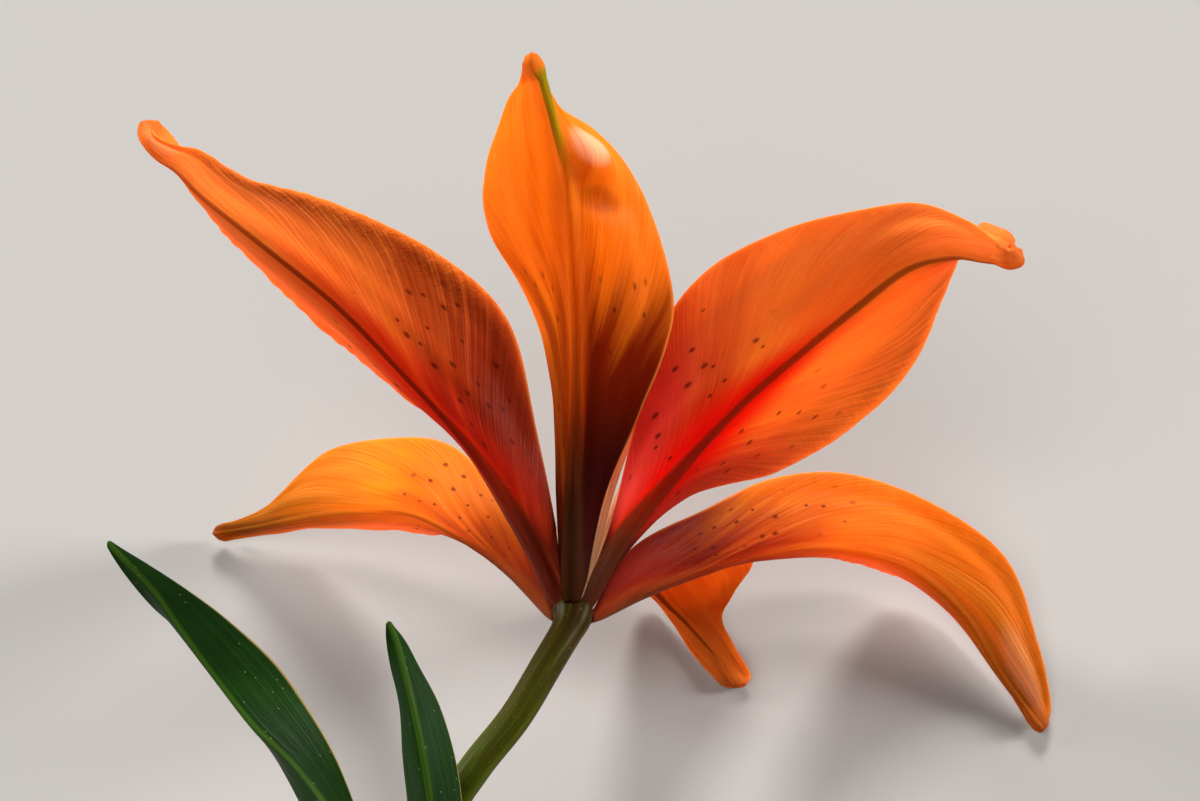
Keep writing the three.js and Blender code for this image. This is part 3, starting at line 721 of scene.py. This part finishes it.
def body_colour(sh, look, at):
    """The tones from base to tip, with lighter sides and streaks along the veins."""
    wide_drift = sh.fade(at.wide_streaks, 0.3, 0.7, -0.04, 0.04)
    drift = sh.math("ADD", sh.fade(at.cloud, 0.3, 0.7, -0.05, 0.05), wide_drift)
    colour = sh.ramp(sh.math("ADD", at.along, drift), list(zip(TONE_PLACES, look["tones"])))
    sides = sh.product(sh.fade(at.from_keel, 0.3, 0.95), sh.fade(at.along, 0.2, 0.5), 0.5)
    colour = sh.tint(colour, look["margin"], sides)
    colour = sh.tint(colour, "#ffb02c", sh.fade(at.wide_streaks, 0.5, 0.75, 0.0, 0.28), at.upper)
    colour = sh.tint(colour, "#e05004", sh.fade(at.wide_streaks, 0.46, 0.25, 0.0, 0.24), at.upper)
    deep = sh.product(sh.fade(at.from_keel, 0.1, 0.9, 0.16, 0.24), at.upper)
    colour = sh.tint(colour, "#b83008", sh.fade(at.fine_streaks, 0.5, 0.7), deep)
    colour = sh.tint(colour, "#ffb458", sh.fade(at.hair_streaks, 0.5, 0.72, 0.0, 0.26), at.upper)
    return sh.tint(colour, "#9c2c04", sh.fade(at.grain, 0.42, 0.66, 0.0, 0.1), at.upper)


def with_lanes(sh, look, at, colour):
    """Two bright lanes beside the keel, and a red flush over them low down."""
    lanes = sh.window(at.ratio, 0.9, 1.3, 1.6, 3.2)
    colour = sh.tint(colour, "#ff9c34", lanes, sh.fade(at.along, 0.35, 0.6), 0.35)
    low_down = sh.window(at.along, 0.1, 0.28, 0.5, 0.8)
    near_keel = sh.fade(at.beside, sh.fade(at.along, 0.25, 0.6, 0.09, 0.035), 0.008)
    return sh.tint(colour, "#f00600", low_down, near_keel, look["red"])


def with_flushes_and_painted_shade(sh, look, at, colour):
    """A pink and a dark flush low down on the sides, the dark one partly painted shade, and a streaky brown
    band of painted shade inside the right margin.
    """
    low_down = sh.window(at.along, 0.12, 0.24, 0.36, 0.58)
    pink = sh.fade(at.signed, -0.1, 0.1, *look["pink"])
    colour = sh.tint(colour, "#ea3c30", low_down, sh.fade(at.from_keel, 0.3, 0.75), pink)

    # The dark flush over the lower sides is partly the claw's own dark colour and partly painted shade.
    left_shade, right_shade, end, base_colour = look["dark_base_and_shade"]
    dark_base_and_shade = sh.fade(at.signed, -0.1, 0.1, left_shade, right_shade)
    edge = sh.math("ADD", at.along, sh.fade(at.wide_streaks, 0.3, 0.7, -0.06, 0.06))
    shade = sh.product(sh.fade(edge, end, end - 0.2), sh.fade(at.from_keel, 0.02, 0.25))
    dark = sh.mix(sh.fade(at.along, 0.2, 0.5), linear(base_colour), linear("#7c1a00"))
    colour = sh.mix(sh.product(shade, dark_base_and_shade), colour, dark)

    # Painted shade: a streaky brown band where the blade dips inside its rolled right margin.
    shade_band = sh.product(sh.window(at.signed, 0.3, 0.7, 0.86, 1.0), sh.window(at.along, 0.18, 0.35, 0.8, 0.97))
    return sh.tint(colour, "#741404", shade_band, sh.fade(at.fine_streaks, 0.3, 0.6, 0.5, 1.0), look["shade_band"])


def with_keel(sh, look, at, colour):
    """The keel's stripe low down, and its ridge ahead, with painted shade on its left side."""
    stripe = sh.fade(at.ratio, 1.35, 0.6)
    low_colour, end, share = look["stripe"]
    colour = sh.tint(colour, low_colour, stripe, sh.fade(at.along, end - 0.45, end, share, 0.0))
    ahead_colour, start, share = look["ridge"]
    started = sh.fade(at.along, start, start + 0.14, 0.0, share)
    ahead_share = sh.product(started, sh.fade(at.along, 0.985, 0.965))
    # Painted shade: the ridge turns dark olive on its left side.
    ahead = sh.mix(sh.fade(at.aside, 0.002, -0.003, 0.0, 0.8), linear(ahead_colour), linear("#3c3004"))
    return sh.mix(sh.product(stripe, ahead_share), colour, ahead)


def with_painted_swelling_light(sh, look, at, colour):
    """A painted highlight on the lit side ahead of each swelling, and painted shade in each hollow."""
    for middle, v_middle, length, width, height in look["swellings"]:
        centre = middle + 0.4 * length if height > 0 else middle
        ahead_of = sh.math("DIVIDE", sh.math("SUBTRACT", at.along, centre), length)
        aside_of = sh.math("DIVIDE", sh.math("SUBTRACT", at.signed, v_middle), width)
        away = sh.math("ADD", sh.product(ahead_of, ahead_of), sh.product(aside_of, aside_of))
        near = sh.product(sh.fade(away, 1.0, 0.05), sh.fade(at.fine_streaks, 0.3, 0.6, 0.6, 1.0))
        strength = min(1, height / 3) if height > 0 else -height / 2
        # Painted highlight in pale peach over a swelling, painted shade in brown over a hollow.
        colour = sh.tint(colour, "#ffd4ac" if height > 0 else "#a83c04", near, strength)
    return colour


def tepal_spots(sh, look, at):
    """Where the small spots are: in the lower half, and drawn out lengthwise."""
    cells = sh.voronoi(sh.stretch(at.seeded, 0.5, 1.0), 40.0, 0.9)
    chosen, size = sh.split(cells.outputs["Color"])
    picked = sh.fade(chosen, 1 - look["spots"], 1.01 - look["spots"])
    dot = sh.fade(cells.outputs["Distance"], sh.fade(size, 0.0, 1.0, 0.1, 0.2), 0.05)
    lengthwise = sh.window(at.along, 0.2, 0.26, 0.52, 0.62)
    crosswise = sh.window(at.from_keel, 0.2, 0.3, 0.78, 0.86)
    return sh.product(dot, picked, lengthwise, crosswise)


def tepal_bumps(sh, look, at):
    """Fine crosswise wrinkles towards the right margin, and veins and grain over the whole skin."""
    wrinkles = sh.noise(sh.stretch(at.seeded, 2.3, 1.0), 75.0, 2.0, 0.6, 0.6)
    near_margin = sh.product(sh.fade(at.signed, 0.6, 0.9), sh.fade(at.along, 0.3, 0.55))
    bumps = sh.bump(sh.product(wrinkles, near_margin, look["wrinkles"]), 0.0005, 0.8)
    bumps = sh.bump(at.fine_streaks, 0.00025, 0.7, bumps)
    bumps = sh.bump(at.hair_streaks, 0.00008, 0.7, bumps)
    return sh.bump(at.grain, 0.00004, 0.7, bumps)


def tepal_skin(name, look, inner=False):
    """Silky tepal skin in the colours of its look. Inside, the spots stand out a little."""
    sh = Shader(name)
    at = tepal_places(sh, look)
    spots = tepal_spots(sh, look, at)
    bumps = tepal_bumps(sh, look, at)
    if inner:
        bumps = sh.bump(spots, 0.0005, 0.8, bumps)
    colour = body_colour(sh, look, at)
    colour = with_lanes(sh, look, at, colour)
    colour = with_flushes_and_painted_shade(sh, look, at, colour)
    colour = with_keel(sh, look, at, colour)
    colour = with_painted_swelling_light(sh, look, at, colour)

    # Thin margins brightened with painted rim light, a brownish tip and maroon spots
    colour = sh.tint(colour, "#ffa448", sh.fade(at.from_keel, 0.955, 0.995, 0.0, 0.6), at.upper)
    colour = sh.tint(colour, "#c0682c", sh.fade(at.along, 0.965, 0.99, 0.0, 0.5))
    colour = sh.tint(colour, "#520804", spots, 0.92 if inner else 0.85)

    # The thick claw lets the least light through
    glow = sh.mix(sh.fade(at.along, 0.15, 0.5, 0.04, 0.3), colour, linear("#ffa020"))
    thick = sh.product(sh.fade(at.along, 0.3, 0.05), sh.fade(at.from_keel, 1.0, 0.6))
    through = sh.math("SUBTRACT", 0.56, sh.product(thick, 0.44))
    roughness = sh.fade(at.along, 0.15, 0.45, 0.26, 0.4)
    return sh.surface(colour, roughness, SKIN_SPECULAR, bumps, glow, through)


def leaf_skin(name):
    """Dark green skin with lengthwise veins, a paler midrib and edge, and a few pale specks."""
    sh = Shader(name)
    along, across = sh.split(sh.map("share"))
    place = sh.map("place")
    _, aside = sh.split(place)
    from_keel = sh.math("ABSOLUTE", sh.math("MULTIPLY_ADD", across, 2.0, -1.0))
    flow = sh.join(along, across)
    veins = sh.noise(sh.stretch(flow, 1.5, 40), 1.4, 3.0, 0.5)
    fine_veins = sh.noise(sh.stretch(flow, 3.0, 150), 1.0, 2.0, 0.5)
    cloud = sh.noise(place, 6.0, 3.0, 0.6)
    grain = sh.noise(place, 300.0, 2.0)
    colour = sh.ramp(cloud, [(0.25, "#061c02"), (0.55, "#0b2803"), (0.8, "#163805")])
    colour = sh.tint(colour, "#27540a", sh.fade(veins, 0.45, 0.7, 0.0, 0.3))
    colour = sh.tint(colour, "#0a2404", sh.fade(fine_veins, 0.5, 0.7, 0.0, 0.25))
    colour = sh.tint(colour, "#4c7018", sh.fade(sh.math("ABSOLUTE", aside), 0.0055, 0.002, 0.0, 0.35))
    colour = sh.tint(colour, "#a88a50", sh.fade(from_keel, 0.95, 0.985, 0.0, 0.75))
    colour = sh.tint(colour, "#a9ab80", sh.specks(place, 60.0, size=0.08, amount=0.14), 0.5)
    bumps = sh.bump(veins, 0.0003, 0.5)
    bumps = sh.bump(fine_veins, 0.00008, 0.5, bumps)
    bumps = sh.bump(grain, 0.00002, 0.5, bumps)
    glow = sh.mix(0.5, colour, linear("#5c8e0c"))
    return sh.surface(colour, sh.fade(cloud, 0.3, 0.7, 0.34, 0.44), SKIN_SPECULAR, bumps, glow, 0.2)


def stem_skin(name):
    """Olive green skin, brownish near the flower, with lengthwise streaks and faint specks."""
    sh = Shader(name)
    along, _ = sh.split(sh.map("share"))
    place = sh.map("place")
    cloud = sh.noise(place, 9.0, 3.0, 0.6)
    streaks = sh.noise(sh.stretch(place, 3.0, 60.0), 1.5, 3.0, 0.6)
    grain = sh.noise(place, 260.0, 2.0)
    stops = [(0.0, "#241404"), (0.025, "#2a1e06"), (0.08, "#303006"), (0.25, "#324208"), (1.0, "#3a540e")]
    colour = sh.tint(sh.ramp(along, stops), "#66701a", sh.fade(streaks, 0.45, 0.75, 0.0, 0.3))
    colour = sh.tint(colour, "#4b2f10", sh.fade(cloud, 0.5, 0.75, 0.0, 0.3))
    colour = sh.tint(colour, "#8c8a40", sh.specks(place, 70.0, size=0.1, amount=0.3), 0.2)
    bumps = sh.bump(grain, 0.00003, 0.5, sh.bump(streaks, 0.0002, 0.5))
    return sh.surface(colour, 0.4, 0.03, bumps)


def plain_skin(name, low, high, bump_scale, bump_distance, roughness, lengthwise=True, through=0.0):
    """A skin with a fine grain and two tones, from base to end or in small patches."""
    sh = Shader(name)
    if lengthwise:
        value, _ = sh.split(sh.map("share"))
        place = sh.map("place")
    else:
        place = sh.node("ShaderNodeTexCoord").outputs["Object"]
        value = sh.noise(place, 900.0, 2.0)
    colour = sh.mix(sh.fade(value, 0.1, 0.9), linear(low), linear(high))
    grain = sh.noise(place, bump_scale, 3.0, 0.6)
    colour = sh.tint(colour, low, sh.fade(grain, 0.4, 0.7, 0.0, 0.35))
    bumps = sh.bump(grain, bump_distance, 0.6)
    return sh.surface(colour, roughness, 0.15, bumps, colour if through else None, through)


# Tepals


def tepal_relief(look):
    """How far the middle surface stands out: channels, wavy margins, folds, pleats and swellings."""
    seed = look["seed"]

    def relief(share, v, along, aside):
        from_keel = np.abs(v)
        body = smoothstep(share, 0.15, 0.4) * smoothstep(share, 1.0, 0.97)
        margin = smoothstep(from_keel, 0.5, 1.0)
        wave = np.sin(along * 0.31 + seed + np.sign(v) * 1.3) + 0.6 * np.sin(along * 0.67 + 2.1 * seed)
        channel = np.where(v > 0, *look["channels"][::-1]) * np.exp(-(((from_keel - 0.76) / 0.13) ** 2))
        rim = look["wrinkles"] * smoothstep(from_keel, 0.7, 0.92) * smoothstep(share, 0.35, 0.55)
        crinkles = 0.1 * np.sin(along * 2.0 + 1.7 * np.sin(along * 0.53 + seed) + 2 * from_keel)
        folds = 0.07 * np.sin(aside * 1.9 + seed) + 0.1 * np.sin(aside * 1.1 + 2.3 * seed)
        folds = folds * (1 - margin) * smoothstep(np.abs(aside), 1.2, 3.0)
        pleats = np.sin(aside * 3.3 + 0.06 * along) * smoothstep(aside, 0.6, 2.0) * smoothstep(v, 0.8, 0.6)
        pleats = look["pleats"] * pleats * smoothstep(share, 0.72, 0.8) * smoothstep(share, 0.95, 0.9)
        lift = look["waves"] * margin * wave - channel + rim * crinkles + folds + pleats
        for middle, v_middle, length, width, height in look["swellings"]:
            spread = ((share - middle) / length) ** 2 + ((v - v_middle) / width) ** 2
            lift = lift + height * np.exp(-spread)
        return body * lift

    return relief


def tepal_thickness(look):
    """The outer and the inner half thickness: a keel outside, a furrow inside, a thick claw and tip."""

    def thickness(share, v, along, aside):
        claw = smoothstep(share, 0.4, 0.03)
        tip = smoothstep(share, 0.955, 0.985)
        keel_width = 1.8 + (look["keel"] - 1.8) * smoothstep(share, 0.03, 0.42)
        from_keel = np.abs(aside) / (keel_width * (1 - 0.55 * smoothstep(share, 0.7, 0.98)))
        keel = np.exp(-(from_keel**4))
        lanes = np.exp(-(((from_keel - 1.7) / 0.55) ** 2)) * smoothstep(share, 0.05, 0.25)
        extra = 0.25 * claw * (1 - np.abs(v)) + (look["callus"] - TEPAL_HALF_THICKNESS) * tip
        body = TEPAL_HALF_THICKNESS + extra
        height = 0.2 + 0.35 * claw + 0.3 * look["fold"] * smoothstep(share, 0.7, 0.85)
        return body + height * keel - 0.1 * lanes, body - 0.08 * keel

    return thickness


pieces = []


def add_tepal(name, azimuth, ring, left, keel, right):
    look = USUAL_LOOK | TEPAL_LOOKS[name]
    rails = [
        [in_flower(azimuth + turn, FOOT_DEPTH, ring * FOOT_TIGHTNESS), *points]
        for turn, points in ((-BASE_SPREAD, left), (0, keel), (BASE_SPREAD, right))
    ]
    skins = [tepal_skin(f"{name}_outside", look), tepal_skin(f"{name}_inside", look, inner=True)]
    shape = dict(
        round_end=0.02, round_start=0.03,
        roundness=lambda t: KEEL_ROUNDNESS * (1 - look["fold"] * smoothstep(t, 0.5, 0.75)),
        relief=tepal_relief(look), thickness=tepal_thickness(look),
    )
    piece = blade(name + "_skin", rails, shape, skins)
    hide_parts(name)
    pieces.append(piece)


def add_leaf(name, along, turn, left, keel, right):
    out = STEM_RADIUS + LEAF_SEAT
    rails = [
        [beside_stem(along, turn + clasp, out), *points]
        for clasp, points in ((-LEAF_CLASP, left), (0, keel), (LEAF_CLASP, right))
    ]

    def relief(share, v, along_mm, aside):
        return 0.25 * smoothstep(np.abs(v), 0.5, 1) * np.sin(along_mm * 0.2 + np.sign(v))

    def thickness(share, v, along_mm, aside):
        rib = np.exp(-((aside / 0.7) ** 2)) * smoothstep(share, 1, 0.6)
        return 0.25 + 0.3 * rib, 0.25 - 0.1 * rib

    shape = dict(
        round_end=0.008, round_start=0.005,
        roundness=lambda t: KEEL_ROUNDNESS + 0 * t,
        relief=relief, thickness=thickness,
    )
    skin = leaf_skin(name + "_skin")
    piece = blade(name + "_skin", rails, shape, [skin, skin], steps=160, across=32)
    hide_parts(name)
    pieces.append(piece)


def add_stem():
    length = np.linalg.norm(np.diff(stem_places, axis=0), axis=1).sum()

    def radius(share, turn):
        flare = (RECEPTACLE_RADIUS - STALK_RADIUS) * np.exp(-((share * length / FLARE_LENGTH) ** 2))
        grow = (STEM_RADIUS - STALK_RADIUS) * smoothstep(share, 0.12, 0.35)
        ridges = 0.04 * np.sin(6 * turn) + 0.03 * np.sin(11 * turn + share * 8)
        return STALK_RADIUS + flare + grow + ridges

    piece = bar("stem_skin", stem_places, radius, 40, stem_skin("stem_skin"))
    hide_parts("stem")
    pieces.append(piece)


def filament_places(azimuth, height, out):
    bends = [(0.2, 0.21), (0.5, 0.46), (0.8, 0.83), (1, 1)]
    points = [in_flower(azimuth, height * up, out * aside) for up, aside in bends]
    return catmull_rom([in_flower(azimuth, 0.4, FILAMENT_RING), *points], np.linspace(0, 1, 60))


def strap_outline(share, turn):
    """A grooved strap low down that turns thin and round at the filament's end."""
    widening = STRAP_EXTRA_WIDTH * smoothstep(share, -0.05, 0.2) * smoothstep(share, 0.98, 0.5)
    wide = FILAMENT_END_RADIUS + widening
    deep = FILAMENT_END_RADIUS + STRAP_EXTRA_DEPTH * smoothstep(share, 0.95, 0.25)
    oval = wide * deep / np.hypot(deep * np.cos(turn), wide * np.sin(turn))
    return oval - STRAP_GROOVE * smoothstep(share, 0.9, 0.3) * np.exp(-((np.cos(turn) / 0.3) ** 2))


def lobed_outline(share, turn):
    """Two pollen lobes with a groove between them, rounded at both ends."""
    ends = np.sqrt(np.clip(1 - (2 * share - 1) ** 4, 0.003, 1))
    aside = np.abs(np.cos(turn))
    return ends * (0.85 + 0.22 * aside**0.8 - 0.2 * np.exp(-((aside / 0.22) ** 2)))


def add_stamen(name, azimuth, height, out, filament_material, anther_material):
    """A filament, and an anther that hangs across its end by its middle."""
    places = filament_places(azimuth, height, out)
    inwards = in_flower(azimuth, 0, -1) - FOOT
    forward = unit(places[-1] - places[-3])
    across = unit(np.cross(inwards, forward))
    filament = bar(f"filament_{name}_skin", places, strap_outline, 24, filament_material, across)
    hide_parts(f"filament_{name}")

    long = unit(forward + 0.9 * inwards)
    back = np.cross(across, long)
    back = back * np.sign(back.dot(forward))
    t = np.linspace(-1, 1, 60)
    centre = places[-1] + back * ANTHER_OUT
    spine = centre + np.outer(t * ANTHER_HALF_LENGTH, long) + np.outer(ANTHER_BEND * t**2, back)
    anther = bar(f"anther_{name}_skin", spine, lobed_outline, 36, anther_material, across)
    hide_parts(f"anther_{name}")
    pieces.extend([filament, anther])


def add_pistil(material):
    points = [
        in_flower(0, 0.4, 0),
        in_flower(0, PISTIL_LENGTH * 0.33, 0),
        in_flower(0, PISTIL_LENGTH * 0.66, 0) + 0.6 * RIGHT - 0.4 * UPPER,
        in_flower(0, PISTIL_LENGTH, 0) + 1.5 * RIGHT - 1.0 * UPPER,
    ]

    def radius(share, turn):
        size = np.interp(share, *zip(*PISTIL_RADII))
        ovary = smoothstep(share, 0.3, 0.26)
        stigma = smoothstep(share, 0.92, 0.96)
        return size * (1 + (0.08 * ovary + 0.2 * stigma) * np.cos(3 * turn))

    piece = bar("pistil_skin", resample(points, 160), radius, 36, material)
    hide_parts("pistil")
    pieces.append(piece)


for tepal_name, tepal in TEPALS.items():
    add_tepal(tepal_name, **tepal)
for leaf_name, leaf in LEAVES.items():
    add_leaf(leaf_name, **leaf)
add_stem()
cream = plain_skin("filament_cream", "#ffd8a8", "#f7a066", 400.0, 0.0001, 0.4, through=0.5)
rust = plain_skin("anther_rust", "#481804", "#84340c", 1400.0, 0.0003, 0.9, lengthwise=False)
pale_green = plain_skin("pistil_green", "#8fa048", "#c46a34", 300.0, 0.0001, 0.4)
for stamen_name, stamen in STAMENS.items():
    add_stamen(stamen_name, *stamen, cream, rust)
add_pistil(pale_green)

# The frame counts from the middle of the whole lily, so every piece moves by the place of the stem's cut end
stem_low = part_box("stem")[0]
slope = math.atan2(STEM_ROUTE[-2][2] - STEM_ROUTE[-1][2], STEM_ROUTE[-2][1] - STEM_ROUTE[-1][1])
cut_x, cut_y, cut_z = STEM_ROUTE[-1]
offset = Vector((
    stem_low[0] - (cut_x - STEM_RADIUS) * MM,
    stem_low[1] - (cut_y - STEM_RADIUS * math.sin(slope)) * MM,
    stem_low[2] - (cut_z - STEM_RADIUS * math.cos(slope)) * MM,
))
for piece in pieces:
    piece.data.transform(Matrix.Translation(offset))
    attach(piece, "root")

# Floor, light and camera


def floor_material():
    sh = Shader("pale_floor")
    return sh.surface(linear("#949290"), 0.9, 0.0)


def backdrop_material():
    sh = Shader("pale_backdrop")
    return sh.finish(sh.node("ShaderNodeEmission", {"Color": linear("#d4d0c8")}).outputs["Emission"])


def add_floor():
    """A round floor, and a wall round it that only the camera sees, so that low views stay pale."""
    turns = np.linspace(0, 2 * math.pi, 96, endpoint=False)
    rim = FLOOR_RADIUS * np.stack([np.cos(turns), np.sin(turns), 0 * turns], 1)
    top = rim + [0, 0, BACKDROP_HEIGHT]
    count = len(turns)
    disc = [list(range(count))]
    wall = [[k, (k + 1) % count, count + (k + 1) % count, count + k] for k in range(count)]
    floor = add_mesh("floor", rim / MM, disc, [floor_material()])
    backdrop = add_mesh("backdrop", np.vstack([rim, top]) / MM, wall, [backdrop_material()])
    for kind in ("diffuse", "glossy", "transmission", "shadow"):
        setattr(backdrop, "visible_" + kind, False)


def add_sun(name, side, strength, width):
    """A soft, slightly warm light from one side, width degrees wide."""
    lamp = bpy.data.lights.new(name, "SUN")
    lamp.energy = strength
    lamp.angle = math.radians(width)
    lamp.color = (1, 0.98, 0.95)
    light = bpy.data.objects.new(name, lamp)
    light.rotation_euler = Vector(side).to_track_quat("Z", "Y").to_euler()
    bpy.context.scene.collection.objects.link(light)


def add_camera():
    toward = np.array([0, -math.cos(CAMERA_ELEVATION), math.sin(CAMERA_ELEVATION)])
    up = np.array([0, math.sin(CAMERA_ELEVATION), math.cos(CAMERA_ELEVATION)])
    place = FOOT + CAMERA_RIGHT_OF_FOOT * RIGHT + CAMERA_ABOVE_FOOT * up + CAMERA_DISTANCE * toward
    data = bpy.data.cameras.new("camera")
    data.lens = CAMERA_LENS
    data.sensor_width = 36
    data.clip_start = 0.01
    camera = bpy.data.objects.new("camera", data)
    camera.location = Vector(place * MM) + offset
    camera.rotation_euler = (math.pi / 2 - CAMERA_ELEVATION, 0, 0)
    bpy.context.scene.collection.objects.link(camera)
    bpy.context.scene.camera = camera


add_floor()
add_sun("right", (0.9, 0.16, 0.29), strength=5.0, width=15)
add_sun("left", (-0.9, 0.41, 0.29), strength=4.6, width=16)
add_sun("back", (0, 1.51, 0.9), strength=4.8, width=18)
add_sun("fill", (-0.3, -0.4, 1.1), strength=1.6, width=30)
world = bpy.data.worlds.new("studio")
world.use_nodes = True
background = world.node_tree.nodes["Background"].inputs
background["Color"].default_value = (0.9, 0.93, 1, 1)
background["Strength"].default_value = 0.08
bpy.context.scene.world = world
add_camera()
bpy.context.scene.view_settings.view_transform = "Standard"
